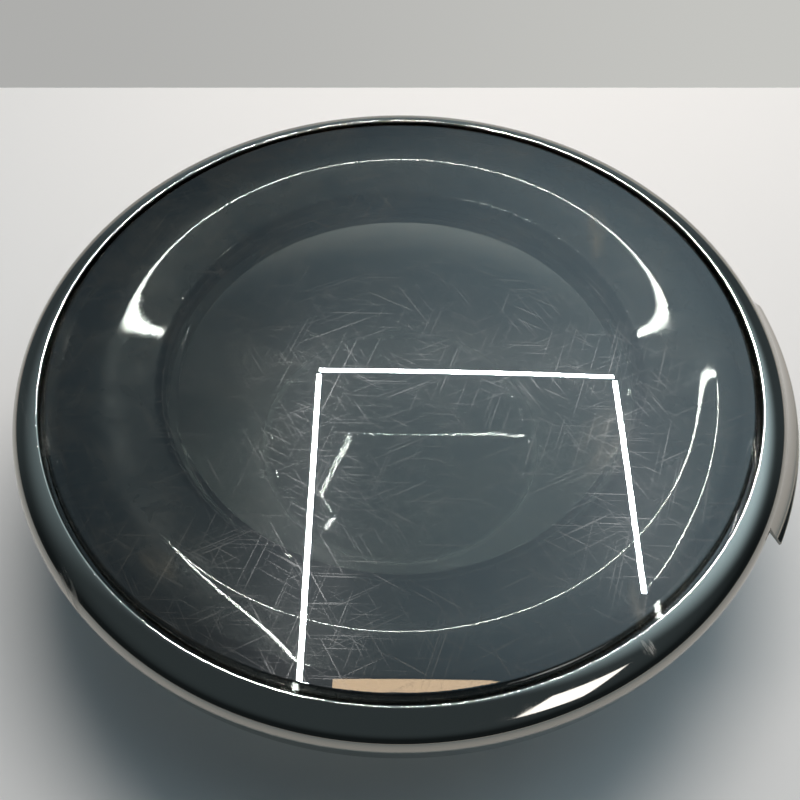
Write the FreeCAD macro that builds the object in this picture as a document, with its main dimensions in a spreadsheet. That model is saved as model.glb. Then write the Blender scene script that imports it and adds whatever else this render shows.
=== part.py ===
import FreeCAD, Part
import math
import os
import Sketcher

# Door of a front-loading washing machine, lying face up on its glass bowl.
# The door's axis is Z, the front faces +Z, the grip and latch are at +X, the hinge at -X.
# The origin is the middle of the bowl's flat underside.

doc = FreeCAD.newDocument("washing_machine_door")
sheet = doc.addObject("Spreadsheet::Sheet", "Sizes")
size_names = []


# A length or count with the expression that binds it to the sheet.
class Size:
    def __init__(self, read, text):
        self.read = read
        self.text = text

    @property
    def value(self):
        return self.read()

    def joined(self, other, sign, work):
        other = as_size(other)
        return Size(lambda: work(self.value, other.value), "(%s %s %s)" % (self.text, sign, other.text))

    def __add__(self, other):
        return self.joined(other, "+", lambda a, b: a + b)

    def __sub__(self, other):
        return self.joined(other, "-", lambda a, b: a - b)

    def __mul__(self, other):
        return self.joined(other, "*", lambda a, b: a * b)

    def __truediv__(self, other):
        return self.joined(other, "/", lambda a, b: a / b)

    def __neg__(self):
        return Size(lambda: -self.value, "(-1 * %s)" % self.text)

    def root(self):
        return Size(lambda: math.sqrt(self.value), "sqrt(%s)" % self.text)


def as_size(number):
    if isinstance(number, Size):
        return number
    return Size(lambda: float(number), "%.9g" % number)


def size(name, value):
    size_names.append(name)
    row = len(size_names)
    sheet.set("A%d" % row, name)
    sheet.set("B%d" % row, str(value))
    sheet.setAlias("B%d" % row, name)
    return Size(lambda: float(sheet.get(name)), "Sizes." + name)


# Glass bowl
bowl_height = size("bowl_height", 88.0)
mouth_radius = size("mouth_radius", 141.0)
floor_radius = size("floor_radius", 98.0)
glass_thickness = size("glass_thickness", 5.0)
floor_dome = size("floor_dome", 3.2)
wall_across = size("wall_across", 5.7)
flange_reach = size("flange_reach", 23.0)
flange_thickness = size("flange_thickness", 6.0)
floor_bend_inside = size("floor_bend_inside", 14.0)
floor_bend_outside = size("floor_bend_outside", 18.0)
mouth_bend = size("mouth_bend", 3.5)
flange_root_bend = size("flange_root_bend", 4.0)

# Rubber seal round the flange
seal_thickness = size("seal_thickness", 2.0)
seal_slack = size("seal_slack", 0.2)
seal_reach = size("seal_reach", 11.0)

# Rear frame
frame_wall = size("frame_wall", 3.0)
collar_room = size("collar_room", 5.0)
collar_chamfer = size("collar_chamfer", 3.0)
ledge_depth = size("ledge_depth", 10.0)
back_margin = size("back_margin", 1.0)
frame_step = size("frame_step", 14.0)
step_run = size("step_run", 5.0)
step_wall = size("step_wall", 2.25)
seat_slack = size("seat_slack", 1.4)
rim_slack = size("rim_slack", 0.5)

# Front bezel under the cover
bezel_wall = size("bezel_wall", 2.2)
bezel_overhang = size("bezel_overhang", 5.5)
lip_roll = size("lip_roll", 8.0)
bezel_rise = size("bezel_rise", 16.4)
face_arc = size("face_arc", 500.0)
crest_arc = size("crest_arc", 115.0)
crest_run = size("crest_run", 23.5)
crest_margin = size("crest_margin", 0.5)
crest_bend = size("crest_bend", 7.1)
foot_inset = size("foot_inset", 4.0)
foot_width = size("foot_width", 3.0)
shelf_rise = size("shelf_rise", 10.0)
shelf_clearance = size("shelf_clearance", 0.7)
skirt_offset = size("skirt_offset", 4.9)
skirt_wall = size("skirt_wall", 2.5)

# Smoked window cover
cover_wall = size("cover_wall", 2.5)
cover_room = size("cover_room", 3.8)
cover_edge_bend = size("cover_edge_bend", 4.0)
cover_rise = size("cover_rise", 9.0)
cover_crown = size("cover_crown", 2.5)
cover_flange_inset = size("cover_flange_inset", 0.4)

# Chromed outer ring with its grip
ring_band = size("ring_band", 18.6)
ring_gap = size("ring_gap", 1.5)
ring_wall = size("ring_wall", 2.8)
lip_rise = size("lip_rise", 9.5)
lip_bead = size("lip_bead", 1.2)
edge_bend = size("edge_bend", 12.0)
skirt_draft = size("skirt_draft", 1.0)
grip_reach = size("grip_reach", 8.5)
grip_drop = size("grip_drop", 4.0)
grip_tip = size("grip_tip", 2.4)
grip_hollow = size("grip_hollow", 40.0)
grip_half_angle = size("grip_half_angle", 21.0)
recess_half_angle = size("recess_half_angle", 18.0)
recess_end_angle = size("recess_end_angle", 1.5)
recess_wall = size("recess_wall", 2.4)
recess_depth = size("recess_depth", 19.1)

# Screws
screw_count = size("screw_count", 8)
boss_room = size("boss_room", 15.4)
boss_radius = size("boss_radius", 4.5)
well_radius = size("well_radius", 7.0)
well_rise = size("well_rise", 9.0)
well_bore = size("well_bore", 4.6)
boss_to_skirt = size("boss_to_skirt", 2.1)
ring_boss_radius = size("ring_boss_radius", 3.5)
screw_radius = size("screw_radius", 1.7)
screw_length = size("screw_length", 14.0)
screw_head_radius = size("screw_head_radius", 3.8)
screw_head_height = size("screw_head_height", 2.4)
pilot_slack = size("pilot_slack", 0.05)
clear_slack = size("clear_slack", 0.5)
pilot_extra = size("pilot_extra", 2.0)

# Hinge
leaf_clearance = size("leaf_clearance", 2.4)
hinge_drop = size("hinge_drop", 2.0)
pin_radius = size("pin_radius", 4.0)
pin_fit = size("pin_fit", 0.05)
pin_head_radius = size("pin_head_radius", 6.0)
pin_head_height = size("pin_head_height", 2.2)
clip_thickness = size("clip_thickness", 0.9)
clip_radius = size("clip_radius", 6.5)
clip_depth = size("clip_depth", 0.75)
clip_gap = size("clip_gap", 3.0)
pin_tail = size("pin_tail", 1.5)
bush_wall = size("bush_wall", 2.0)
bush_flange_radius = size("bush_flange_radius", 8.0)
bush_flange = size("bush_flange", 1.5)
eye_wall = size("eye_wall", 3.0)
arm_start = size("arm_start", 25.0)
arm_width = size("arm_width", 10.5)
ear_play = size("ear_play", 0.3)
ear_width = size("ear_width", 4.0)
ear_wall = size("ear_wall", 3.0)
leaf_thickness = size("leaf_thickness", 3.0)
leaf_half_length = size("leaf_half_length", 50.0)
leaf_width = size("leaf_width", 27.0)
leaf_gap = size("leaf_gap", 12.0)
hinge_screw_row = size("hinge_screw_row", 20.0)
hinge_screw_inner = size("hinge_screw_inner", 15.0)
hinge_screw_outer = size("hinge_screw_outer", 45.5)
hinge_boss_height = size("hinge_boss_height", 11.0)
plate_half_length = size("plate_half_length", 48.0)
plate_near = size("plate_near", 14.0)
plate_far = size("plate_far", 48.0)
plate_corner = size("plate_corner", 6.0)
mount_spacing_long = size("mount_spacing_long", 80.0)
mount_spacing_short = size("mount_spacing_short", 18.0)
mount_hole_radius = size("mount_hole_radius", 3.2)
tub_depth = size("tub_depth", 8.0)
tub_margin = size("tub_margin", 5.0)
tub_clearance = size("tub_clearance", 1.7)

# Latch
hook_room = size("hook_room", 15.4)
hook_pivot_rise = size("hook_pivot_rise", 7.5)
hook_pin_radius = size("hook_pin_radius", 2.5)
hook_eye = size("hook_eye", 6.0)
hook_half_width = size("hook_half_width", 5.0)
hook_arm = size("hook_arm", 8.0)
hook_neck_drop = size("hook_neck_drop", 9.0)
hook_length = size("hook_length", 44.0)
hook_nose = size("hook_nose", 7.0)
hook_nose_depth = size("hook_nose_depth", 14.0)
hook_nose_edge = size("hook_nose_edge", 2.5)
lug_inside = size("lug_inside", 13.0)
lug_width = size("lug_width", 3.0)
lug_length = size("lug_length", 18.0)
lug_cap = size("lug_cap", 7.0)
slot_inward = size("slot_inward", 11.0)
slot_outward = size("slot_outward", 11.0)
slot_half_width = size("slot_half_width", 7.5)
side_play = size("side_play", 0.5)
spring_radius = size("spring_radius", 4.2)
spring_wire = size("spring_wire", 0.55)
spring_turns = size("spring_turns", 4)
spring_pitch = size("spring_pitch", 1.4)

doc.recompute()

# Levels above the surface on which the bowl stands
flange_under = bowl_height - flange_thickness
ledge_top = flange_under - seal_thickness
bezel_seat = bowl_height + seal_thickness
frame_back = ledge_top - ledge_depth
frame_floor = frame_back + frame_wall
rim_under = frame_back + frame_step
rim_top = rim_under + frame_wall
cover_seat = bezel_seat + shelf_rise
ring_seat = cover_seat + cover_wall
ring_top = ring_seat + lip_rise
crest_top = bezel_seat + bezel_wall + bezel_rise
cover_edge_top = ring_seat + cover_rise
well_top = frame_back + well_rise

# Radii, each from the piece inside it
flange_radius = mouth_radius + flange_reach
seal_outside = flange_radius + seal_slack + seal_thickness
seat_radius = seal_outside + seat_slack
seat_wall_outer = seat_radius + frame_wall
boss_circle = seat_wall_outer + boss_room
hook_offset = seat_wall_outer + hook_room
leaf_inner_edge = seat_wall_outer + leaf_clearance
leaf_outer_edge = leaf_inner_edge + leaf_width
hinge_offset = leaf_outer_edge + leaf_gap
back_radius = leaf_outer_edge + back_margin
bezel_mouth = mouth_radius + bezel_overhang
foot_radius = flange_radius - seal_reach + foot_inset
crest_radius = back_radius + crest_margin
crest_side = crest_radius + crest_bend
skirt_radius = crest_side + skirt_offset
cover_radius = crest_side + cover_room + cover_wall
ring_opening = cover_radius + ring_gap
ring_radius = ring_opening + ring_band
skirt_outside = ring_radius - skirt_draft
skirt_inside_radius = skirt_outside - ring_wall
ring_boss_circle = skirt_inside_radius - boss_to_skirt - ring_boss_radius
shelf_radius = ring_boss_circle - ring_boss_radius - shelf_clearance
cover_flange = shelf_radius - cover_flange_inset
first_screw_turn = math.pi / screw_count.value


def plane_of(body, role):
    for feature in body.Origin.OriginFeatures:
        if feature.Role == role:
            return feature
    raise ValueError("no plane " + role)


def new_body(label):
    body = doc.addObject("PartDesign::Body", label)
    body.Label = label
    return body


def new_sketch(body, role, lift=None):
    sketch = body.newObject("Sketcher::SketchObject", body.Name + "_sketch")
    sketch.AttachmentSupport = [(plane_of(body, role), "")]
    sketch.MapMode = "FlatFace"
    if lift is not None:
        sketch.AttachmentOffset = FreeCAD.Placement(FreeCAD.Vector(0, 0, lift.value), FreeCAD.Rotation())
        sketch.setExpression("AttachmentOffset.Base.z", lift.text)
    return sketch


def bind_last(sketch, constraint, amount):
    index = sketch.addConstraint(constraint)
    sketch.setExpression("Constraints[%d]" % index, amount.text)


def bind_point(sketch, edge, end, across, up):
    origin_point = (-1, 1)
    if isinstance(across, Size):
        across_rule = Sketcher.Constraint("DistanceX", *origin_point, edge, end, across.value)
        bind_last(sketch, across_rule, across)
    else:
        sketch.addConstraint(Sketcher.Constraint("PointOnObject", edge, end, -2))
    if isinstance(up, Size):
        up_rule = Sketcher.Constraint("DistanceY", *origin_point, edge, end, up.value)
        bind_last(sketch, up_rule, up)
    else:
        sketch.addConstraint(Sketcher.Constraint("PointOnObject", edge, end, -1))


def place(corner):
    return FreeCAD.Vector(as_size(corner[0]).value, as_size(corner[1]).value, 0)


# The arc from one point to another whose centre is on the left (turn 1) or the right (turn -1).
def arc_between(start, end, radius, turn):
    chord = end - start
    left = FreeCAD.Vector(-chord.y, chord.x, 0) / chord.Length
    rise = math.sqrt(max(radius ** 2 - (chord.Length / 2) ** 2, 0.0))
    centre = (start + end) / 2 + left * rise * turn
    first, last = (start, end) if turn > 0 else (end, start)
    begin = math.atan2(first.y - centre.y, first.x - centre.x)
    finish = math.atan2(last.y - centre.y, last.x - centre.x)
    return Part.ArcOfCircle(Part.Circle(centre, FreeCAD.Vector(0, 0, 1), radius), begin, finish)


# Draws a closed outline. A corner is (across, up), and with (bend, turn) after it an arc runs to the next corner.
def outline(sketch, corners):
    begin = sketch.GeometryCount
    count = len(corners)
    ends = []
    for i, corner in enumerate(corners):
        start = place(corner)
        finish = place(corners[(i + 1) % count])
        if len(corner) == 2:
            sketch.addGeometry(Part.LineSegment(start, finish), False)
            ends.append((1, 2))
        else:
            sketch.addGeometry(arc_between(start, finish, corner[2].value, corner[3]), False)
            ends.append((1, 2) if corner[3] > 0 else (2, 1))
    for i in range(count):
        before = (i - 1) % count
        joint = Sketcher.Constraint("Coincident", begin + before, ends[before][1], begin + i, ends[i][0])
        sketch.addConstraint(joint)
    for i, corner in enumerate(corners):
        bind_point(sketch, begin + i, ends[i][0], corner[0], corner[1])
    for i, corner in enumerate(corners):
        if len(corner) == 4:
            bind_last(sketch, Sketcher.Constraint("Radius", begin + i, corner[2].value), corner[2])


def circle(sketch, across, up, radius):
    edge = sketch.GeometryCount
    middle = place((across, up))
    sketch.addGeometry(Part.Circle(middle, FreeCAD.Vector(0, 0, 1), radius.value), False)
    bind_point(sketch, edge, 3, across, up)
    bind_last(sketch, Sketcher.Constraint("Radius", edge, radius.value), radius)


def rectangle(sketch, left, right, low, high):
    outline(sketch, [(left, low), (right, low), (right, high), (left, high)])


def feature(body, kind, sketch):
    made = body.newObject("PartDesign::" + kind, body.Name + "_" + kind.lower())
    made.Profile = sketch
    return made


# Turns a sketch of the XZ plane about the door's axis, by a full turn or evenly to both sides of +X.
def spin(body, kind, sketch, half_angle=None):
    made = feature(body, kind, sketch)
    made.ReferenceAxis = (sketch, ["V_Axis"])
    made.Angle = 360
    if half_angle is not None:
        made.Midplane = True
        made.setExpression("Angle", (half_angle * 2).text)
    return made


def extrude(body, kind, sketch, length, backward=False):
    made = feature(body, kind, sketch)
    made.Length = length.value
    made.setExpression("Length", length.text)
    made.Reversed = backward
    return made


def column(body, drawing, low, high):
    sketch = new_sketch(body, "XY_Plane", low)
    drawing(sketch)
    return extrude(body, "Pad", sketch, high - low)


def shaft(body, drawing, low, high):
    sketch = new_sketch(body, "XY_Plane", low)
    drawing(sketch)
    return extrude(body, "Pocket", sketch, high - low, backward=True)


# A slab or a cut across the door, drawn in the XZ plane and reaching from one Y to another.
def crosswise(body, drawing, low, high, kind="Pad"):
    sketch = new_sketch(body, "XZ_Plane", -high)
    drawing(sketch)
    return extrude(body, kind, sketch, high - low, backward=(kind == "Pocket"))


def repeat_round(body, features):
    pattern = body.newObject("PartDesign::PolarPattern", body.Name + "_pattern")
    pattern.Originals = features
    pattern.Axis = (features[0].Profile[0], ["N_Axis"])
    pattern.Angle = 360
    pattern.Occurrences = int(screw_count.value)
    pattern.setExpression("Occurrences", screw_count.text)
    body.Tip = pattern
    return pattern


def soften(body, bend, wanted):
    doc.recompute()
    base = body.Tip
    names = ["Edge%d" % (i + 1) for i, edge in enumerate(base.Shape.Edges) if wanted(edge)]
    if not names:
        raise ValueError("no edge to round on " + body.Label)
    fillet = body.newObject("PartDesign::Fillet", body.Name + "_fillet")
    fillet.Base = (base, names)
    fillet.Radius = bend.value
    fillet.setExpression("Radius", bend.text)
    doc.recompute()
    return fillet


def ring_edge(radius, level):
    def wanted(edge):
        if edge.Degenerated or not isinstance(edge.Curve, Part.Circle):
            return False
        same_radius = abs(edge.Curve.Radius - radius.value) < 0.01
        return same_radius and abs(edge.Curve.Center.z - level.value) < 0.01
    return wanted


# Glass bowl
taper = (mouth_radius - floor_radius) / (bowl_height - glass_thickness)
foot_outside = floor_radius - taper * glass_thickness + wall_across
neck_outside = floor_radius + taper * (flange_under - glass_thickness) + wall_across


def make_glass_bowl():
    body = new_body("glass_bowl")
    sketch = new_sketch(body, "XZ_Plane")
    dome_arc = (floor_radius * floor_radius + floor_dome * floor_dome) / (floor_dome * 2)
    outline(sketch, [
        (0, 0),
        (foot_outside, 0),
        (neck_outside, flange_under),
        (flange_radius, flange_under),
        (flange_radius, bowl_height),
        (mouth_radius, bowl_height),
        (floor_radius, glass_thickness, dome_arc, 1),
        (0, glass_thickness + floor_dome),
    ])
    spin(body, "Revolution", sketch)
    soften(body, floor_bend_outside, ring_edge(foot_outside, as_size(0)))
    soften(body, floor_bend_inside, ring_edge(floor_radius, glass_thickness))
    soften(body, mouth_bend, ring_edge(mouth_radius, bowl_height))
    soften(body, flange_root_bend, ring_edge(neck_outside, flange_under))
    return body


# Rubber channel round the flange of the bowl
def make_glass_seal():
    body = new_body("glass_seal")
    sketch = new_sketch(body, "XZ_Plane")
    lip = flange_radius - seal_reach
    channel = flange_radius + seal_slack
    outline(sketch, [
        (lip, bezel_seat),
        (seal_outside, bezel_seat),
        (seal_outside, ledge_top),
        (lip, ledge_top),
        (lip, flange_under),
        (channel, flange_under),
        (channel, bowl_height),
        (lip, bowl_height),
    ])
    spin(body, "Revolution", sketch)
    return body


# Front bezel: a rolled lip at the mouth, a gentle arc up the face and a tighter one over the crest
crest_start = crest_radius - crest_run
crest_height = (crest_arc * crest_arc - crest_run * crest_run).root()
crest_centre = crest_top - crest_arc
crest_start_level = crest_centre + crest_height
face_centre_radius = crest_start + face_arc * crest_run / crest_arc
face_centre = crest_start_level - face_arc * crest_height / crest_arc
lip_reach = face_arc - lip_roll
lip_run = face_centre_radius - bezel_mouth - lip_roll
lip_height = (lip_reach * lip_reach - lip_run * lip_run).root()
lip_centre = face_centre + lip_height


def on_face(depth):
    reach = (face_arc - depth) / lip_reach
    return face_centre_radius - lip_run * reach, face_centre + lip_height * reach


def bezel_level(radius, depth):
    reach = face_arc - depth
    run = face_centre_radius - radius
    return face_centre + (reach * reach - run * run).root()


def crest_level(radius, depth):
    reach = crest_arc - depth
    run = crest_radius - radius
    return crest_centre + (reach * reach - run * run).root()


def screw_place(circle_radius):
    return circle_radius * math.cos(first_screw_turn), circle_radius * math.sin(first_screw_turn)


def make_front_bezel():
    body = new_body("front_bezel")
    sketch = new_sketch(body, "XZ_Plane")
    shelf_under = cover_seat - bezel_wall
    skirt_inside = skirt_radius - skirt_wall
    foot_outer = foot_radius + foot_width
    lip_end = bezel_mouth + bezel_wall
    share = (crest_arc - bezel_wall) / crest_arc
    bend_radius = crest_radius - crest_run * share
    bend_level = crest_centre + crest_height * share
    crest_inside = crest_side - bezel_wall
    outline(sketch, [
        (bezel_mouth, bezel_seat),
        (bezel_mouth, lip_centre, lip_roll, -1),
        (*on_face(0), face_arc, -1),
        (crest_start, crest_start_level, crest_arc, -1),
        (crest_radius, crest_top, crest_bend, -1),
        (crest_side, crest_top - crest_bend),
        (crest_side, cover_seat),
        (shelf_radius, cover_seat),
        (shelf_radius, shelf_under),
        (skirt_radius, shelf_under),
        (skirt_radius, rim_top),
        (skirt_inside, rim_top),
        (skirt_inside, shelf_under),
        (crest_inside, shelf_under),
        (crest_inside, crest_top - crest_bend),
        (crest_radius, crest_top - bezel_wall, crest_arc - bezel_wall, 1),
        (bend_radius, bend_level, face_arc - bezel_wall, 1),
        (foot_outer, bezel_level(foot_outer, bezel_wall)),
        (foot_outer, bezel_seat),
        (foot_radius, bezel_seat),
        (foot_radius, bezel_level(foot_radius, bezel_wall), face_arc - bezel_wall, 1),
        (*on_face(bezel_wall), lip_roll - bezel_wall, 1),
        (lip_end, lip_centre),
        (lip_end, bezel_seat),
    ])
    spin(body, "Revolution", sketch)
    boss_end = crest_level(boss_circle, bezel_wall / 2)
    across, up = screw_place(boss_circle)
    boss = column(body, lambda s: circle(s, across, up, boss_radius), well_top, boss_end)
    pilot = screw_radius + pilot_slack
    pilot_end = well_top + screw_length + pilot_extra
    hole = shaft(body, lambda s: circle(s, across, up, pilot), well_top, pilot_end)
    repeat_round(body, [boss, hole])
    return body


# Smoked cover: crowned plate with a rolled edge and a flange under the ring
def make_window_cover():
    body = new_body("window_cover")
    sketch = new_sketch(body, "XZ_Plane")
    flat = cover_radius - cover_edge_bend
    crown_arc = (flat * flat + cover_crown * cover_crown) / (cover_crown * 2)
    roll_end = cover_edge_top - cover_edge_bend
    inside = cover_radius - cover_wall
    top = cover_edge_top + cover_crown
    outline(sketch, [
        (0, top, crown_arc, -1),
        (flat, cover_edge_top, cover_edge_bend, -1),
        (cover_radius, roll_end),
        (cover_radius, ring_seat),
        (cover_flange, ring_seat),
        (cover_flange, cover_seat),
        (inside, cover_seat),
        (inside, roll_end, cover_edge_bend - cover_wall, 1),
        (flat, cover_edge_top - cover_wall, crown_arc, 1),
        (0, top - cover_wall),
    ])
    spin(body, "Revolution", sketch)
    return body


# Outer ring: a gentle face that leans more and more, then a tight turn into the skirt
face_lean = math.radians(10)
edge_lean = math.radians(30)
grip_crease = math.radians(40)
grip_root = math.radians(25)
chord_lean = (face_lean + edge_lean) / 2
turn_radius = ring_radius - edge_bend * (1 - math.sin(edge_lean))
face_start = ring_opening + lip_bead
face_run = turn_radius - face_start
turn_level = ring_top - face_run * math.tan(chord_lean)
face_bend = face_run / (2 * math.sin((edge_lean - face_lean) / 2) * math.cos(chord_lean))
widest_level = turn_level - edge_bend * math.cos(edge_lean)
edge_middle = ring_radius - edge_bend


def on_edge(turn, depth):
    reach = edge_bend - depth
    return edge_middle + reach * math.cos(turn), widest_level + reach * math.sin(turn)


def make_outer_ring():
    body = new_body("outer_ring")
    sketch = new_sketch(body, "XZ_Plane")
    leg = ring_opening + ring_wall
    face_middle_across = turn_radius - face_bend * math.sin(edge_lean)
    face_middle_up = turn_level - face_bend * math.cos(edge_lean)
    inner_reach = face_bend - ring_wall
    leg_run = leg - face_middle_across
    leg_top = face_middle_up + (inner_reach * inner_reach - leg_run * leg_run).root()
    outline(sketch, [
        (ring_opening, ring_seat),
        (ring_opening, ring_top - lip_bead, lip_bead, -1),
        (face_start, ring_top, face_bend, -1),
        (turn_radius, turn_level, edge_bend, -1),
        (ring_radius, widest_level),
        (skirt_outside, rim_under),
        (skirt_inside_radius, rim_under),
        (ring_radius - ring_wall, widest_level, edge_bend - ring_wall, 1),
        (*on_edge(math.pi / 2 - edge_lean, ring_wall), inner_reach, 1),
        (leg, leg_top),
        (leg, ring_seat),
    ])
    spin(body, "Revolution", sketch)
    make_grip(body)
    across, up = screw_place(ring_boss_circle)
    boss_sketch = new_sketch(body, "XY_Plane", rim_top)
    circle(boss_sketch, across, up, ring_boss_radius)
    boss = feature(body, "Pad", boss_sketch)
    boss.Type = "UpToFirst"
    pilot = screw_radius + pilot_slack
    pilot_end = rim_top + screw_length - frame_wall
    hole = shaft(body, lambda s: circle(s, across, up, pilot), rim_top, pilot_end)
    repeat_round(body, [boss, hole])
    return body


# The grip is a flared brim on the ring's outer edge, with the skirt open behind it for the fingers
def make_grip(body):
    brim = new_sketch(body, "XZ_Plane")
    tip_radius = ring_radius + grip_reach
    tip_level = widest_level - grip_drop
    outline(brim, [
        (*on_edge(grip_crease, 0), grip_hollow, 1),
        (tip_radius, tip_level),
        (tip_radius - grip_tip / 4, tip_level - grip_tip),
        (ring_radius - ring_wall / 4, widest_level + ring_wall / 2),
        on_edge(grip_root, ring_wall / 2),
    ])
    spin(body, "Revolution", brim, grip_half_angle)
    opening = new_sketch(body, "XZ_Plane")
    low = rim_under - frame_wall
    high = widest_level - recess_wall / 2
    rectangle(opening, skirt_inside_radius - frame_wall, ring_radius + skirt_draft, low, high)
    spin(body, "Groove", opening, recess_half_angle)


# Rear frame
collar_radius = neck_outside + collar_room
frame_radius = skirt_inside_radius - rim_slack
hinge_level = frame_back - hinge_drop
tub_floor = frame_back + tub_depth
leaf_under = tub_floor - leaf_thickness
hinge_screw_x = leaf_outer_edge - hinge_screw_row
hook_level = frame_floor + hook_pivot_rise


def hinge_screw_places():
    return [
        (-hinge_screw_x, -hinge_screw_outer),
        (-hinge_screw_x, -hinge_screw_inner),
        (-hinge_screw_x, hinge_screw_inner),
        (-hinge_screw_x, hinge_screw_outer),
    ]


def make_rear_frame():
    body = new_body("rear_frame")
    sketch = new_sketch(body, "XZ_Plane")
    step_top = back_radius + step_run
    outline(sketch, [
        (collar_radius, ledge_top),
        (collar_radius, frame_back + collar_chamfer),
        (collar_radius + collar_chamfer, frame_back),
        (back_radius, frame_back),
        (step_top, rim_under),
        (frame_radius, rim_under),
        (frame_radius, rim_top),
        (step_top - step_wall, rim_top),
        (back_radius - step_wall, frame_floor),
        (seat_wall_outer, frame_floor),
        (seat_wall_outer, bezel_seat),
        (seat_radius, bezel_seat),
        (seat_radius, ledge_top),
    ])
    spin(body, "Revolution", sketch)
    add_finger_recess(body)
    add_hinge_tub(body)
    add_latch_housing(body)
    add_screw_wells(body)
    return body


def add_finger_recess(body):
    block = new_sketch(body, "XZ_Plane")
    inner = ring_boss_circle - ring_boss_radius
    roof = rim_under + recess_depth - recess_wall * 2
    rectangle(block, inner, frame_radius, rim_under, roof)
    spin(body, "Revolution", block, recess_half_angle + recess_end_angle)
    room = new_sketch(body, "XZ_Plane")
    rectangle(room, inner + recess_wall, ring_radius + grip_reach, rim_under - frame_wall, roof - recess_wall)
    spin(body, "Groove", room, recess_half_angle)


def add_hinge_tub(body):
    half = leaf_half_length + tub_margin
    inner = leaf_inner_edge - tub_clearance
    block = lambda s: rectangle(s, -leaf_outer_edge, frame_wall - inner, -half - frame_wall, half + frame_wall)
    column(body, block, frame_back, tub_floor + frame_wall)
    room = lambda s: rectangle(s, -frame_radius, -inner, -half, half)
    shaft(body, room, frame_back - frame_wall, tub_floor)
    for across, up in hinge_screw_places():
        boss = lambda s: circle(s, across, up, boss_radius)
        column(body, boss, tub_floor, tub_floor + hinge_boss_height)
        pilot = lambda s: circle(s, across, up, screw_radius + pilot_slack)
        shaft(body, pilot, tub_floor, tub_floor + screw_length)


def add_latch_housing(body):
    lug_low = hook_offset - lug_length / 2
    lug_high = hook_offset + lug_length / 2
    lug_top = hook_level + lug_cap
    lug = lambda s: rectangle(s, lug_low, lug_high, frame_floor - frame_wall / 2, lug_top)
    crosswise(body, lug, lug_inside, lug_inside + lug_width)
    crosswise(body, lug, -lug_inside - lug_width, -lug_inside)
    bore = lambda s: circle(s, hook_offset, hook_level, hook_pin_radius + pin_fit)
    reach = lug_inside + lug_width
    crosswise(body, bore, -reach, reach, "Pocket")
    slot_low = hook_offset - slot_inward
    slot_high = hook_offset + slot_outward
    slot = lambda s: rectangle(s, slot_low, slot_high, -slot_half_width, slot_half_width)
    shaft(body, slot, frame_back - frame_wall, frame_floor + frame_wall)


def add_screw_wells(body):
    across, up = screw_place(boss_circle)
    rim_across, rim_up = screw_place(ring_boss_circle)
    clear = screw_radius + clear_slack
    cup = column(body, lambda s: circle(s, across, up, well_radius), frame_back + frame_wall / 2, well_top)
    room = shaft(body, lambda s: circle(s, across, up, well_bore), frame_back, well_top - frame_wall)
    hole = shaft(body, lambda s: circle(s, across, up, clear), frame_back, well_top)
    rim_hole = shaft(body, lambda s: circle(s, rim_across, rim_up, clear), rim_under, rim_top)
    repeat_round(body, [cup, room, hole, rim_hole])


# Screws of one kind: a low head under the seat and a plain shank above it
def screw(body, across, up, seat):
    head = lambda s: circle(s, across, up, screw_head_radius)
    shank = lambda s: circle(s, across, up, screw_radius)
    lower = column(body, head, seat - screw_head_height, seat)
    upper = column(body, shank, seat, seat + screw_length)
    return [lower, upper]


def make_screws(label, places, seat, turned=False):
    body = new_body(label)
    body.AllowCompound = True
    for across, up in places:
        made = screw(body, across, up, seat)
    if turned:
        repeat_round(body, made)
    return body


# Hinge: the pin runs along Y, below the recess of the rear frame
hinge_x = -hinge_offset
bush_radius = pin_radius + bush_wall
arm_end = arm_start + arm_width
ear_start = arm_end + bush_flange + ear_play
ear_end = ear_start + ear_width


def round_end(radius):
    return [
        (hinge_x, hinge_level + radius, radius, 1),
        (hinge_x - radius, hinge_level, radius, 1),
        (hinge_x, hinge_level - radius),
    ]


def both_sides(body, drawing, near, far, kind="Pad"):
    crosswise(body, drawing, near, far, kind)
    crosswise(body, drawing, -far, -near, kind)


def make_hinge_door_leaf():
    body = new_body("hinge_door_leaf")
    leaf = lambda s: rectangle(s, -leaf_outer_edge, -leaf_inner_edge, -leaf_half_length, leaf_half_length)
    column(body, leaf, leaf_under, tub_floor)
    ear_radius = pin_radius + ear_wall
    ear = lambda s: outline(s, round_end(ear_radius) + [
        (-leaf_outer_edge + ear_wall, leaf_under),
        (-leaf_outer_edge + ear_wall * 2, tub_floor),
        (-leaf_outer_edge, tub_floor),
    ])
    both_sides(body, ear, ear_start, ear_end)
    bore = lambda s: circle(s, hinge_x, hinge_level, pin_radius + pin_fit)
    crosswise(body, bore, -ear_end, ear_end, "Pocket")
    clear = screw_radius + clear_slack
    for across, up in hinge_screw_places():
        shaft(body, lambda s: circle(s, across, up, clear), leaf_under, tub_floor)
    return body


def make_hinge_pin():
    body = new_body("hinge_pin")
    clip_near = ear_end + ear_play
    clip_far = clip_near + clip_thickness
    shank = lambda s: circle(s, hinge_x, hinge_level, pin_radius)
    crosswise(body, shank, -clip_far - pin_tail, ear_end)
    head = lambda s: circle(s, hinge_x, hinge_level, pin_head_radius)
    crosswise(body, head, ear_end, ear_end + pin_head_height)

    def groove(sketch):
        circle(sketch, hinge_x, hinge_level, pin_radius + ear_play)
        circle(sketch, hinge_x, hinge_level, pin_radius - clip_depth)

    crosswise(body, groove, -clip_far, -clip_near, "Pocket")
    return body


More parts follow.
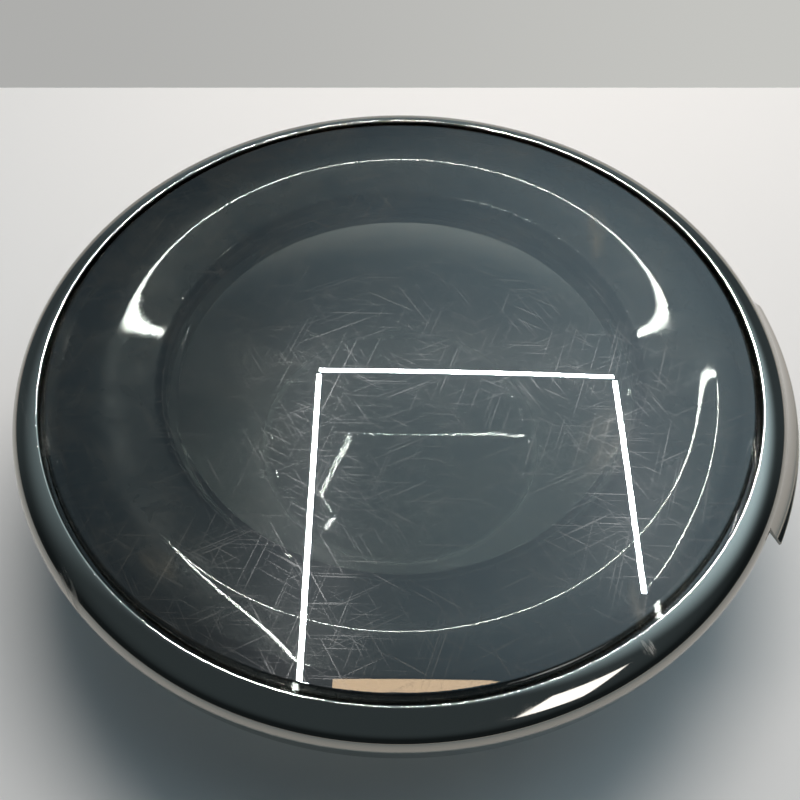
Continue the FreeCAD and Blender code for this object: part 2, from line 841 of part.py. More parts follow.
def make_pin_clip():
    body = new_body("pin_clip")
    clip_near = ear_end + ear_play
    clip_far = clip_near + clip_thickness
    inside = pin_radius - clip_depth + pin_fit

    def washer(sketch):
        circle(sketch, hinge_x, hinge_level, clip_radius)
        circle(sketch, hinge_x, hinge_level, inside)

    crosswise(body, washer, -clip_far, -clip_near)
    low = hinge_level - clip_radius - clip_gap
    gap = lambda s: rectangle(s, hinge_x - clip_gap / 2, hinge_x + clip_gap / 2, low, hinge_level)
    crosswise(body, gap, -clip_far, -clip_near, "Pocket")
    return body


def make_bush(label, side):
    body = new_body(label)

    def tube(radius):
        def drawing(sketch):
            circle(sketch, hinge_x, hinge_level, radius)
            circle(sketch, hinge_x, hinge_level, pin_radius + pin_fit)
        return drawing

    flange_end = arm_end + bush_flange
    if side > 0:
        crosswise(body, tube(bush_radius), arm_start, arm_end)
        crosswise(body, tube(bush_flange_radius), arm_end, flange_end)
    else:
        crosswise(body, tube(bush_radius), -arm_end, -arm_start)
        crosswise(body, tube(bush_flange_radius), -flange_end, -arm_end)
    return body


def make_hinge_cabinet_leaf():
    body = new_body("hinge_cabinet_leaf")
    eye = bush_radius + eye_wall
    plate_top = hinge_level - plate_near
    plate_low = hinge_level - plate_far
    plate_back = hinge_x - leaf_thickness
    gusset = hinge_level - (plate_near + plate_far) / 2
    plate = lambda s: rectangle(s, plate_back, hinge_x, -plate_half_length, plate_half_length)
    column(body, plate, plate_low, plate_top)
    corner = lambda edge: abs(edge.tangentAt(edge.FirstParameter).x) > 0.99
    soften(body, plate_corner, corner)
    arm = lambda s: outline(s, [
        (hinge_x - eye, hinge_level, eye, -1),
        (hinge_x, hinge_level + eye, eye, -1),
        (hinge_x + eye, hinge_level),
        (hinge_x + leaf_thickness, plate_top),
        (hinge_x, gusset),
        (plate_back, gusset),
        (plate_back, plate_top),
    ])
    both_sides(body, arm, arm_start, arm_end)
    bore = lambda s: circle(s, hinge_x, hinge_level, bush_radius + pin_fit / 2)
    crosswise(body, bore, -arm_end, arm_end, "Pocket")
    middle = hinge_level - (plate_near + plate_far) / 2 - eye_wall
    holes = new_sketch(body, "YZ_Plane", plate_back)
    for along in (-mount_spacing_long / 2, mount_spacing_long / 2):
        for rise in (middle - mount_spacing_short / 2, middle + mount_spacing_short / 2):
            circle(holes, along, rise, mount_hole_radius)
    extrude(body, "Pocket", holes, leaf_thickness, backward=True)
    return body


# Latch: a hook on a pin between the two lugs of the frame, held out by a torsion spring
def make_latch_hook():
    body = new_body("latch_hook")
    half = hook_arm / 2
    inner = hook_offset - half
    outer = hook_offset + half
    nose = outer + hook_nose
    low = hook_level - hook_length
    catch = low + hook_nose_depth
    hook = lambda s: outline(s, [
        (hook_offset - hook_eye, hook_level, hook_eye, -1),
        (hook_offset, hook_level + hook_eye, hook_eye, -1),
        (hook_offset + hook_eye, hook_level),
        (outer, hook_level - hook_neck_drop),
        (outer, catch),
        (nose, catch),
        (nose, catch - hook_nose_edge),
        (hook_offset, low),
        (inner, low),
        (inner, hook_level - hook_neck_drop),
    ])
    crosswise(body, hook, -hook_half_width, hook_half_width)
    hub = lambda s: circle(s, hook_offset, hook_level, hook_eye)
    crosswise(body, hub, side_play - lug_inside, -hook_half_width)
    bore = lambda s: circle(s, hook_offset, hook_level, hook_pin_radius + pin_fit)
    crosswise(body, bore, -lug_inside, hook_half_width, "Pocket")
    return body


def make_hook_pin():
    body = new_body("hook_pin")
    reach = lug_inside + lug_width
    crosswise(body, lambda s: circle(s, hook_offset, hook_level, hook_pin_radius), -reach, reach)
    return body


# Torsion spring on the pin: half turns that lean to and fro, a leg on the frame's floor and an arm beside the hook
def make_hook_spring():
    radius = spring_radius.value
    step = spring_pitch.value / 2
    half_turns = 2 * int(spring_turns.value)
    crown = math.hypot(radius, step / 2)
    coil_length = step * half_turns
    foot = FreeCAD.Vector(radius, (frame_floor - hook_level).value, 0)
    path = [Part.makeLine(foot, FreeCAD.Vector(radius, 0, 0))]
    for i in range(half_turns):
        side = 1 if i % 2 == 0 else -1
        begin = FreeCAD.Vector(side * radius, 0, step * i)
        middle = FreeCAD.Vector(0, side * crown, step * i + step / 2)
        finish = FreeCAD.Vector(-side * radius, 0, step * i + step)
        path.append(Part.Arc(begin, middle, finish).toShape())
    arm_root = FreeCAD.Vector(radius, 0, coil_length)
    path.append(Part.makeLine(arm_root, arm_root + FreeCAD.Vector(0, hook_eye.value, 0)))
    section = Part.Wire(Part.makeCircle(spring_wire.value, foot, FreeCAD.Vector(0, 1, 0)))
    spring = doc.addObject("Part::Feature", "hook_spring")
    spring.Label = "hook_spring"
    spring.Shape = Part.Wire(path).makePipe(Part.Face(section))
    far_end = (hook_half_width + side_play + spring_wire).value + coil_length
    upright = FreeCAD.Rotation(FreeCAD.Vector(1, 0, 0), 90)
    spring.Placement = FreeCAD.Placement(FreeCAD.Vector(hook_offset.value, far_end, hook_level.value), upright)
    return spring


nodes = [
    make_glass_bowl(),
    make_glass_seal(),
    make_front_bezel(),
    make_window_cover(),
    make_outer_ring(),
    make_rear_frame(),
    make_screws("bezel_screws", [screw_place(boss_circle)], well_top - frame_wall, turned=True),
    make_screws("ring_screws", [screw_place(ring_boss_circle)], rim_under, turned=True),
    make_hinge_door_leaf(),
    make_screws("hinge_screws", hinge_screw_places(), leaf_under),
    make_hinge_pin(),
    make_pin_clip(),
    make_bush("bush_upper", 1),
    make_bush("bush_lower", -1),
    make_hinge_cabinet_leaf(),
    make_latch_hook(),
    make_hook_pin(),
    make_hook_spring(),
]
doc.recompute()

for item in doc.Objects:
    if "Invalid" in item.State or "Error" in item.State:
        raise RuntimeError("failed: %s %s" % (item.Name, item.State))
for node in nodes:
    if node.Shape.isNull() or not node.Shape.isValid():
        raise RuntimeError("bad shape: " + node.Label)

os.makedirs("parts", exist_ok=True)
for node in nodes:
    box = node.Shape.BoundBox
    print("%-20s %2d solids %10.1f mm3  z %.2f to %.2f" % (
        node.Label, len(node.Shape.Solids), node.Shape.Volume, box.ZMin, box.ZMax))
    node.Shape.exportStep("parts/%s.step" % node.Label)
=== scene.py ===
import bmesh
import bpy
import math
from mathutils import Matrix, Vector


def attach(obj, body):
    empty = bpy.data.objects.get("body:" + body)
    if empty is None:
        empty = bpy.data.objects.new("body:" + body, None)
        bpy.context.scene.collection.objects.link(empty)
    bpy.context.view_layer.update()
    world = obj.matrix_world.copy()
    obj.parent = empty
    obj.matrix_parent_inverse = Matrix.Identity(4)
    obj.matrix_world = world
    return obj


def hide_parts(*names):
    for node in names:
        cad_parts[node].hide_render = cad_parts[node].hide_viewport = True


# Door of a front-loading washing machine, lying face up on its glass bowl.

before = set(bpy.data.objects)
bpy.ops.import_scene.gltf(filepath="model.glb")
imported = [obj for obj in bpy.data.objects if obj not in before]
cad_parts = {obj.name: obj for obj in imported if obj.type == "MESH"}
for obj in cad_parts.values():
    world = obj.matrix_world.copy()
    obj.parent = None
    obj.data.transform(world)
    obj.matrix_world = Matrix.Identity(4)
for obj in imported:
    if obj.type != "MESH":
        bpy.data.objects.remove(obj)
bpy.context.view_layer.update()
mm = 0.001
roundSteps = 360  # one step a degree, so that the grip and its recess end on an edge
print("frame loaded:", len(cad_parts), "nodes")


# shared helpers

photoTurn = math.radians(10)  # the camera stands this far round the door, towards the grip
mergeGap = 0.01 * mm


# a place on the stage in mm: x to the camera's right, y away from it
def onStage(x, y, z):
    return Matrix.Rotation(photoTurn, 3, "Z") @ (Vector((x, y, z)) * mm)


def toLinear(code):
    shades = [int(code[i:i + 2], 16) / 255 for i in (1, 3, 5)]
    return [s / 12.92 if s <= 0.04045 else ((s + 0.055) / 1.055) ** 2.4 for s in shades] + [1.0]


# (radius, height) is a corner; (radius, height, bend, side) starts an arc of that bend to the next corner,
# which bulges to the left (1) or to the right (-1) of the way it runs
def drawProfile(bm, corners, closed=True, arcSteps=12):
    last = bm.verts.new((corners[0][0] * mm, 0, corners[0][1] * mm))
    stops = corners[1:] + ([corners[0]] if closed else [])
    for corner, goal in zip(corners, stops):
        here, there = last.co.copy(), Vector((goal[0] * mm, 0, goal[1] * mm))
        if len(corner) == 2:
            last = bmesh.ops.extrude_vert_indiv(bm, verts=[last])["verts"][0]
            last.co = there
        else:
            chord = there - here
            bend, side = corner[2] * mm, corner[3]
            left = Vector((-chord.z, 0, chord.x)).normalized()
            rise = math.sqrt(max(bend ** 2 - (chord.length / 2) ** 2, 0))
            middle = (here + there) / 2 - left * rise * side
            turn = 2 * math.asin(min(chord.length / 2 / bend, 1)) * side
            swept = bmesh.ops.spin(bm, geom=[last], cent=middle, axis=(0, 1, 0), angle=turn, steps=arcSteps)
            last = [item for item in swept["geom_last"] if isinstance(item, bmesh.types.BMVert)][0]
    bmesh.ops.remove_doubles(bm, verts=bm.verts, dist=mergeGap)


def roundCorner(bm, radius, height, bend, steps=8):
    spot = Vector((radius * mm, 0, height * mm))
    corner = min(bm.verts, key=lambda v: (v.co - spot).length)
    arms = [(edge.other_vert(corner).co - corner.co).normalized() for edge in corner.link_edges]
    opening = arms[0].angle(arms[1])
    bmesh.ops.bevel(bm, geom=[corner], offset=bend * mm / math.tan(opening / 2), offset_type="OFFSET",
                    affect="VERTICES", segments=steps, profile=0.5, material=-1)


def spinRound(bm, geom=None, degrees=360, start=0, steps=roundSteps):
    geom = geom or bm.verts[:] + bm.edges[:]
    verts = [item for item in geom if isinstance(item, bmesh.types.BMVert)]
    bmesh.ops.rotate(bm, verts=verts, cent=(0, 0, 0), matrix=Matrix.Rotation(math.radians(start), 3, "Z"))
    bmesh.ops.spin(bm, geom=geom, cent=(0, 0, 0), axis=(0, 0, 1), angle=math.radians(degrees),
                   steps=steps, use_merge=degrees == 360)
    bmesh.ops.remove_doubles(bm, verts=bm.verts, dist=mergeGap)


def joinInto(bm, extra):
    spare = bpy.data.meshes.new("spare")
    extra.to_mesh(spare)
    extra.free()
    bm.from_mesh(spare)
    bpy.data.meshes.remove(spare)


bossCount = 8
bossSteps = 24


# screw bosses: posts with a blind pilot hole, their tops sloped where the wall above leans
def addBosses(bm, sizes):
    pilot, boss, foot, end, top = (sizes[key] for key in ("pilot", "boss", "bossFoot", "pilotEnd", "bossTop"))
    outline = [(0, end), (pilot, end), (pilot, foot), (boss, foot), (boss, top), (0, top)]
    post = bmesh.new()
    drawProfile(post, outline, closed=False)
    spinRound(post, steps=bossSteps)
    for vert in post.verts:
        if vert.co.z > (end + top) / 2 * mm:
            vert.co.z -= vert.co.x * sizes["bossLean"]
    bmesh.ops.translate(post, verts=post.verts, vec=(sizes["bossCircle"] * mm, 0, 0))
    firstTurn = Matrix.Rotation(math.pi / bossCount, 3, "Z")
    bmesh.ops.rotate(post, verts=post.verts, cent=(0, 0, 0), matrix=firstTurn)
    copies = bossCount - 1
    bmesh.ops.spin(post, geom=post.faces[:], cent=(0, 0, 0), axis=(0, 0, 1),
                   angle=2 * math.pi * copies / bossCount, steps=copies, use_duplicate=True)
    joinInto(bm, post)


def finishPiece(bm, name, material, sharpAngle=35):
    bmesh.ops.recalc_face_normals(bm, faces=bm.faces)
    for face in bm.faces:
        face.smooth = True
    for edge in bm.edges:
        edge.smooth = edge.calc_face_angle(0) < math.radians(sharpAngle)
    mesh = bpy.data.meshes.new(name)
    bm.to_mesh(mesh)
    bm.free()
    mesh.materials.append(material)
    piece = bpy.data.objects.new(name, mesh)
    bpy.context.collection.objects.link(piece)
    return piece


# shader helpers

def newMaterial(name):
    material = bpy.data.materials.new(name)
    material.use_nodes = True
    material.node_tree.nodes.clear()
    return material, material.node_tree


def addNode(tree, kind, inputs=None, **settings):
    node = tree.nodes.new("ShaderNode" + kind)
    for name, value in settings.items():
        setattr(node, name, value)
    for name, value in (inputs or {}).items():
        if isinstance(value, bpy.types.NodeSocket):
            tree.links.new(value, node.inputs[name])
        else:
            node.inputs[name].default_value = value
    return node


def maths(tree, operation, *terms, clamp=False):
    node = addNode(tree, "Math", dict(enumerate(terms)), operation=operation, use_clamp=clamp)
    return node.outputs["Value"]


# runs from low to high as the value goes from start to end
def ramp(tree, value, start, end, low=0.0, high=1.0, shape="LINEAR"):
    limits = {"From Min": start, "From Max": end, "To Min": low, "To Max": high}
    node = addNode(tree, "MapRange", {"Value": value, **limits}, interpolation_type=shape)
    return node.outputs["Result"]


def mottle(tree, where, sizeMm, detail, roughness=0.5):
    inputs = {"Vector": where, "Scale": 1 / (sizeMm * mm), "Detail": detail, "Roughness": roughness}
    return addNode(tree, "TexNoise", inputs).outputs["Fac"]


def blend(tree, factor, first, second):
    inputs = {"Factor": factor, "A": toLinear(first), "B": toLinear(second)}
    return addNode(tree, "Mix", inputs, data_type="RGBA").outputs["Result"]


def mixShader(tree, factor, first, second):
    return addNode(tree, "MixShader", {0: factor, 1: first, 2: second}).outputs["Shader"]


# a place counted in steps of the given sizes, in mm
def inSteps(tree, place, across, along):
    scale = (1 / (across * mm), 1 / (along * mm), 0)
    return addNode(tree, "VectorMath", {0: place, 1: scale}, operation="MULTIPLY").outputs["Vector"]


# wear at given places on the stage: middle and half sizes in mm, turn in degrees, strength
def wearMarks(tree, where, marks, wispMm, wispStretch=11):
    film = None
    for middle, half, turn, strength in marks.values():
        shift = addNode(tree, "VectorMath", {0: where, 1: onStage(*middle, 0)}, operation="SUBTRACT")
        spin = (0, 0, -math.radians(turn) - photoTurn)
        local = addNode(tree, "Mapping", {"Vector": shift.outputs["Vector"], "Rotation": spin})
        local = local.outputs["Vector"]
        reach = addNode(tree, "VectorMath", {0: inSteps(tree, local, *half)}, operation="LENGTH")
        inside = ramp(tree, reach.outputs["Value"], 1.0, 0.2, 0.0, strength, "SMOOTHSTEP")
        stripe = inSteps(tree, local, wispMm, wispMm * wispStretch)
        wisps = addNode(tree, "TexNoise", {"Vector": stripe, "Scale": 1.0, "Detail": 3.0})
        mark = maths(tree, "MULTIPLY", inside, ramp(tree, wisps.outputs["Fac"], 0.32, 0.62))
        film = maths(tree, "MAXIMUM", film, mark) if film else mark
    return film


# materials

scuffs = {
    "nearLeft": ((-169, -159), (6, 24), 28, 1.0),
    "nearRight": ((121, -188), (5, 8), 35, 0.9),
    "leftRim": ((-218, -50), (4, 46), 20, 0.5),
}
scuffDulls = 0.4


# chrome plated ABS: a near mirror with fine rubbing marks, and dull scuffs where it was knocked
def chromedPlastic():
    material, tree = newMaterial("chromePlatedAbs")
    where = addNode(tree, "TexCoord").outputs["Object"]
    rubbed = ramp(tree, mottle(tree, where, 7, 4.0, 0.7), 0.45, 0.8, 0.04, 0.12)
    gloss = maths(tree, "MULTIPLY_ADD", wearMarks(tree, where, scuffs, 1.5), scuffDulls, rubbed)
    shader = addNode(tree, "BsdfPrincipled", {"Base Color": toLinear("#aba69e"), "Metallic": 1.0,
                                              "Roughness": gloss})
    addNode(tree, "OutputMaterial", {"Surface": shader.outputs["BSDF"]})
    return material


smears = {
    "wipedRight": ((133, 98), (9, 36), -8, 1.0),
    "dragged": ((116, -71), (20, 38), -31, 0.7),
    "dirtByEdge": ((119, -166), (6, 16), -4, 1.0),
    "rubbedLeft": ((-124, -146), (9, 18), 50, 0.6),
}
# turn in degrees, width and length of a scratch in mm
hairlines = [(35, 0.8, 60), (-50, 0.7, 45), (80, 0.8, 70), (8, 0.7, 50), (-20, 0.8, 40)]
plateWear = {"filmDulls": 0.12, "filmVeils": 0.13, "hairVeils": 0.045, "speckEvery": 26}


def hairScratches(tree, where):
    hairs = None
    for turn, across, along in hairlines:
        lined = addNode(tree, "Mapping", {"Vector": where, "Rotation": (0, 0, math.radians(turn)),
                                          "Scale": (along * mm, across * mm, 1)}, vector_type="TEXTURE")
        strand = addNode(tree, "TexNoise", {"Vector": lined.outputs["Vector"], "Scale": 1.0, "Detail": 1.0,
                                            "Distortion": 0.2})
        thin = ramp(tree, strand.outputs["Fac"], 0.665, 0.775)
        hairs = maths(tree, "MAXIMUM", hairs, thin) if hairs else thin
    return hairs


# smoked polycarbonate, moulded: a dark clear plate with hairline scratches, wiped smears and a few specks
def smokedPlastic():
    material, tree = newMaterial("smokedPolycarbonate")
    where = addNode(tree, "TexCoord").outputs["Object"]
    hairs = hairScratches(tree, where)
    clouds = ramp(tree, mottle(tree, where, 45, 5.0, 0.65), 0.45, 0.75, 0.0, 0.22)
    film = maths(tree, "ADD", wearMarks(tree, where, smears, 4), clouds)
    haze = maths(tree, "MULTIPLY_ADD", film, plateWear["filmDulls"], hairs, clamp=True)
    dull = ramp(tree, haze, 0.0, 1.0, 0.025, 0.28)
    polished = addNode(tree, "BsdfGlossy", {"Roughness": 0.0}).outputs["BSDF"]
    rubbed = addNode(tree, "BsdfGlossy", {"Roughness": 0.24}).outputs["BSDF"]
    back = addNode(tree, "NewGeometry").outputs["Backfacing"]
    front = maths(tree, "SUBTRACT", 1.0, back)
    fresnel = addNode(tree, "Fresnel", {"IOR": 1.75}).outputs["Fac"]
    smoke = addNode(tree, "BsdfTransparent", {"Color": toLinear("#a9aba9")}).outputs["BSDF"]
    shine = mixShader(tree, dull, polished, rubbed)
    plate = mixShader(tree, maths(tree, "MULTIPLY", fresnel, front), smoke, shine)
    cells = addNode(tree, "TexVoronoi", {"Vector": where, "Scale": 1 / (plateWear["speckEvery"] * mm)})
    speck = ramp(tree, cells.outputs["Distance"], 0.016, 0.01, 0.0, 0.4)
    veil = maths(tree, "MULTIPLY_ADD", film, plateWear["filmVeils"], speck)
    veil = maths(tree, "MULTIPLY_ADD", hairs, plateWear["hairVeils"], veil)
    grime = addNode(tree, "BsdfDiffuse", {"Color": toLinear("#b5a68c")}).outputs["BSDF"]
    worn = mixShader(tree, maths(tree, "MULTIPLY", veil, front), plate, grime)
    addNode(tree, "OutputMaterial", {"Surface": worn})
    return material


# black ABS, polished mould: deep and glossy, with a soft glow round its highlights
def blackGlossPlastic():
    material, tree = newMaterial("polishedBlackAbs")
    where = addNode(tree, "TexCoord").outputs["Object"]
    gloss = ramp(tree, mottle(tree, where, 17, 3.0), 0.3, 0.7, 0.16, 0.32)
    coat = {"Coat Weight": 1.0, "Coat IOR": 2.0, "Coat Roughness": 0.02}
    shader = addNode(tree, "BsdfPrincipled", {"Base Color": toLinear("#1d282d"), "IOR": 1.54,
                                              "Roughness": gloss, **coat})
    addNode(tree, "OutputMaterial", {"Surface": shader.outputs["BSDF"]})
    return material


# pressed soda-lime glass: clear, with a faint green, dulled where it was stood on its underside, and tinted
# darker there as painted shade
def bowlGlass():
    material, tree = newMaterial("pressedSodaLimeGlass")
    where = addNode(tree, "TexCoord").outputs["Object"]
    level = addNode(tree, "SeparateXYZ", {"Vector": where}).outputs["Z"]
    clear = ramp(tree, level, 0.5 * mm, 4 * mm)
    # the darker tint in the bottom few mm is painted shade, for the shaded table seen through the bowl's floor
    tintWithPaintedShadeBelow = blend(tree, clear, "#9fa6a3", "#dfe6e3")
    gloss = ramp(tree, clear, 0.0, 1.0, 0.9, 0.01)
    shader = addNode(tree, "BsdfPrincipled", {"Base Color": tintWithPaintedShadeBelow, "IOR": 1.52, "Roughness": gloss,
                                              "Transmission Weight": 1.0})
    shadow = addNode(tree, "LightPath").outputs["Is Shadow Ray"]
    through = addNode(tree, "BsdfTransparent", {"Color": toLinear("#e3e6e5")})
    mixed = mixShader(tree, shadow, shader.outputs["BSDF"], through.outputs["BSDF"])
    addNode(tree, "OutputMaterial", {"Surface": mixed})
    return material


# a plain moulded or plated finish with a faint mottle, for the pieces under the rim
def plainFinish(name, dark, light, metallic, roughness, grainMm, spread=0.06):
    material, tree = newMaterial(name)
    where = addNode(tree, "TexCoord").outputs["Object"]
    grain = mottle(tree, where, grainMm, 3.0)
    gloss = ramp(tree, grain, 0.0, 1.0, roughness - spread, roughness + spread)
    shade = blend(tree, grain, dark, light)
    shader = addNode(tree, "BsdfPrincipled", {"Base Color": shade, "Metallic": metallic, "Roughness": gloss})
    addNode(tree, "OutputMaterial", {"Surface": shader.outputs["BSDF"]})
    return material


# outer ring with its grip: a face that leans more and more, then a tight turn into the skirt

ring = {
    "opening": 216.4, "seat": 102.5, "top": 112.0, "bead": 1.2, "faceLean": 10, "edgeLean": 30,
    "radius": 235.0, "edgeBend": 12.0, "skirtFoot": 84.0, "wall": 2.8, "legTop": 108.77, "draft": 1.0,
    "gripReach": 8.5, "gripDrop": 4.0, "gripTip": 2.4, "gripEdge": 0.9, "gripHollow": 40.0, "gripHalf": 21,
    "gripSteps": 84, "gripCrease": 40, "gripRoot": 25,
    "recessHalf": 18, "recessTop": 96.26, "recessFrom": 220.0, "bossCircle": 225.6, "boss": 3.5, "pilot": 1.75,
    "bossFoot": 87.0, "pilotEnd": 98.0, "bossTop": 108.0, "bossLean": 0.4,
}
edgeLean = math.radians(ring["edgeLean"])
chordLean = math.radians((ring["faceLean"] + ring["edgeLean"]) / 2)
faceTurn = math.radians(ring["edgeLean"] - ring["faceLean"])
faceStart = ring["opening"] + ring["bead"]
faceRun = ring["radius"] - ring["edgeBend"] * (1 - math.sin(edgeLean)) - faceStart
faceBend = faceRun / (2 * math.sin(faceTurn / 2) * math.cos(chordLean))
widest = ring["top"] - faceRun * math.tan(chordLean) - ring["edgeBend"] * math.cos(edgeLean)


# a point of the tight turn, in degrees up from its widest level
def onEdge(degrees, depth):
    reach = ring["edgeBend"] - depth
    turn = math.radians(degrees)
    return (ring["radius"] - ring["edgeBend"] + reach * math.cos(turn), widest + reach * math.sin(turn))


def makeRing(material):
    bm = bmesh.new()
    wall = ring["wall"]
    leg = ring["opening"] + wall
    skirt = ring["radius"] - ring["draft"]
    share = (widest - ring["recessTop"]) / (widest - ring["skirtFoot"])
    cut = ring["radius"] - ring["draft"] * share
    turnStart = 90 - ring["edgeLean"]
    drawProfile(bm, [
        (ring["opening"], ring["seat"]),
        (ring["opening"], ring["top"] - ring["bead"], ring["bead"], 1),
        (faceStart, ring["top"], faceBend, 1),
        (*onEdge(turnStart, 0), ring["edgeBend"], 1),
        (ring["radius"], widest),
        (cut, ring["recessTop"]),
        (skirt, ring["skirtFoot"]),
        (skirt - wall, ring["skirtFoot"]),
        (cut - wall, ring["recessTop"]),
        (ring["radius"] - wall, widest, ring["edgeBend"] - wall, -1),
        (*onEdge(turnStart, wall), faceBend - wall, -1),
        (leg, ring["legTop"]),
        (leg, ring["seat"]),
    ])
    spinRound(bm)
    openRecess(bm)
    joinInto(bm, makeBrim())
    addBosses(bm, ring)
    return finishPiece(bm, "chromedRing", material)


# the skirt is open behind the grip for the fingers
def openRecess(bm, slack=0.001, nearby=1e-6):
    top = ring["recessTop"] * mm
    half = math.radians(ring["recessHalf"]) + slack

    def inSkirt(middle):
        behindGrip = abs(math.atan2(middle.y, middle.x)) < half
        return behindGrip and middle.z < top and middle.length > ring["recessFrom"] * mm

    skirtFaces = [face for face in bm.faces if inSkirt(face.calc_center_median())]
    bmesh.ops.delete(bm, geom=skirtFaces, context="FACES")
    edges = [edge for edge in bm.edges if edge.is_boundary
             and all(abs(vert.co.z - top) < nearby for vert in edge.verts)]
    bmesh.ops.bridge_loops(bm, edges=edges)
    bmesh.ops.holes_fill(bm, edges=[edge for edge in bm.edges if edge.is_boundary], sides=0)


# the grip: a flared brim on the ring's outer edge
def makeBrim():
    wall, tip = ring["wall"], ring["gripTip"]
    reach, level = ring["radius"] + ring["gripReach"], widest - ring["gripDrop"]
    brim = bmesh.new()
    drawProfile(brim, [
        (*onEdge(ring["gripCrease"], 0), ring["gripHollow"], -1),
        (reach, level),
        (reach - tip / 4, level - tip),
        (ring["radius"] - wall / 4, widest + wall / 2),
        onEdge(ring["gripRoot"], wall / 2),
    ])
    roundCorner(brim, reach, level, ring["gripEdge"], 4)
    bmesh.ops.contextual_create(brim, geom=brim.edges[:])
    section = brim.verts[:] + brim.edges[:] + brim.faces[:]
    spinRound(brim, section, 2 * ring["gripHalf"], -ring["gripHalf"], ring["gripSteps"])
    return brim


# smoked cover: crowned plate, rolled edge, flange under the ring

cover = {"top": 114.0, "edgeTop": 111.5, "flat": 210.9, "crownMargin": 1.0, "roll": 4.0, "flangeTop": 102.5,
         "flange": 221.0, "wall": 2.5}


# a ring of points just inside the rolled edge keeps the shading of the crown smooth up to there
def makeCover(material):
    bm = bmesh.new()
    wall = cover["wall"]
    rise = cover["top"] - cover["edgeTop"]
    crownBend = (cover["flat"] ** 2 + rise ** 2) / (2 * rise)
    crownEnd = cover["flat"] - cover["crownMargin"]
    fall = crownBend - math.sqrt(crownBend ** 2 - crownEnd ** 2)
    radius, rollEnd = cover["flat"] + cover["roll"], cover["edgeTop"] - cover["roll"]
    drawProfile(bm, [
        (0, cover["top"], crownBend, 1),
        (crownEnd, cover["top"] - fall, crownBend, 1),
        (cover["flat"], cover["edgeTop"], cover["roll"], 1),
        (radius, rollEnd),
        (radius, cover["flangeTop"]),
        (cover["flange"], cover["flangeTop"]),
        (cover["flange"], cover["flangeTop"] - wall),
        (radius - wall, cover["flangeTop"] - wall),
        (radius - wall, rollEnd, cover["roll"] - wall, -1),
        (cover["flat"], cover["edgeTop"] - wall, crownBend, -1),
        (0, cover["top"] - wall),
    ], closed=False)
    spinRound(bm)
    return finishPiece(bm, "smokedCover", material)


# bezel: rolled lip at the mouth, gentle face, tighter crest, then the shelf and the skirt

bezel = {
    "mouth": 146.5, "seat": 90.0, "wall": 2.2, "lipRoll": 8.0, "lipCentre": 92.403, "faceArc": 500.0,
    "faceCentre": (280.174, -383.276), "crestFoot": 178.0, "crestArc": 115.0, "crest": 201.5,
    "crestTop": 108.6, "crestBend": 7.1, "shelf": 221.4, "shelfTop": 100.0, "skirt": 213.5, "skirtWall": 2.5,
    "foot": 87.0, "ribIn": 157.0, "ribOut": 160.0, "bossCircle": 186.0, "boss": 4.5, "pilot": 1.75,
    "bossFoot": 79.0, "pilotEnd": 95.0, "bossTop": 106.3, "bossLean": 0,
}


# a point of the face, or of the curve as deep under it: at a radius, or in line with another point
def faceAt(radius, depth=0):
    across, up = bezel["faceCentre"]
    return (radius, up + math.sqrt((bezel["faceArc"] - depth) ** 2 - (across - radius) ** 2))


def faceTowards(point, depth=0):
    centre = Vector(bezel["faceCentre"])
    return tuple(centre + (Vector(point) - centre).normalized() * (bezel["faceArc"] - depth))


def makeBezel(material):
    bm = bmesh.new()
    wall = bezel["wall"]
    lip = (bezel["mouth"] + bezel["lipRoll"], bezel["lipCentre"])
    crestFoot = faceAt(bezel["crestFoot"])
    side, sideTop = bezel["crest"] + bezel["crestBend"], bezel["crestTop"] - bezel["crestBend"]
    under = bezel["shelfTop"] - wall
    drawProfile(bm, [
        (bezel["mouth"], bezel["seat"]),
        (bezel["mouth"], bezel["lipCentre"], bezel["lipRoll"], 1),
        (*faceTowards(lip), bezel["faceArc"], 1),
        (*crestFoot, bezel["crestArc"], 1),
        (bezel["crest"], bezel["crestTop"], bezel["crestBend"], 1),
        (side, sideTop),
        (side, bezel["shelfTop"]),
        (bezel["shelf"], bezel["shelfTop"]),
        (bezel["shelf"], under),
        (bezel["skirt"], under),
        (bezel["skirt"], bezel["foot"]),
        (bezel["skirt"] - bezel["skirtWall"], bezel["foot"]),
        (bezel["skirt"] - bezel["skirtWall"], under),
        (side - wall, under),
        (side - wall, sideTop),
        (bezel["crest"], bezel["crestTop"] - wall, bezel["crestArc"] - wall, -1),
        (*faceTowards(crestFoot, wall), bezel["faceArc"] - wall, -1),
        faceAt(bezel["ribOut"], wall),
        (bezel["ribOut"], bezel["seat"]),
        (bezel["ribIn"], bezel["seat"]),
        (*faceAt(bezel["ribIn"], wall), bezel["faceArc"] - wall, -1),
        (*faceTowards(lip, wall), bezel["lipRoll"] - wall, -1),
        (bezel["mouth"] + wall, bezel["lipCentre"]),
        (bezel["mouth"] + wall, bezel["seat"]),
    ], arcSteps=20)
    spinRound(bm)
    addBosses(bm, bezel)
    return finishPiece(bm, "bezelFunnel", material)


# glass bowl: flange, tapered wall, a bottom that is flat outside and rises a little to the middle inside

bowl = {
    "height": 88.0, "floor": 98.0, "mouth": 141.0, "thickness": 5.0, "wallAcross": 5.7, "flange": 164.0,
    "flangeUnder": 82.0, "floorRise": 3.2, "riseFoot": (78.0, 6.173), "riseBend": 1502.2, "footBend": 18.0,
    "floorBend": 14.0, "mouthBend": 3.5, "rootBend": 4.0,
}


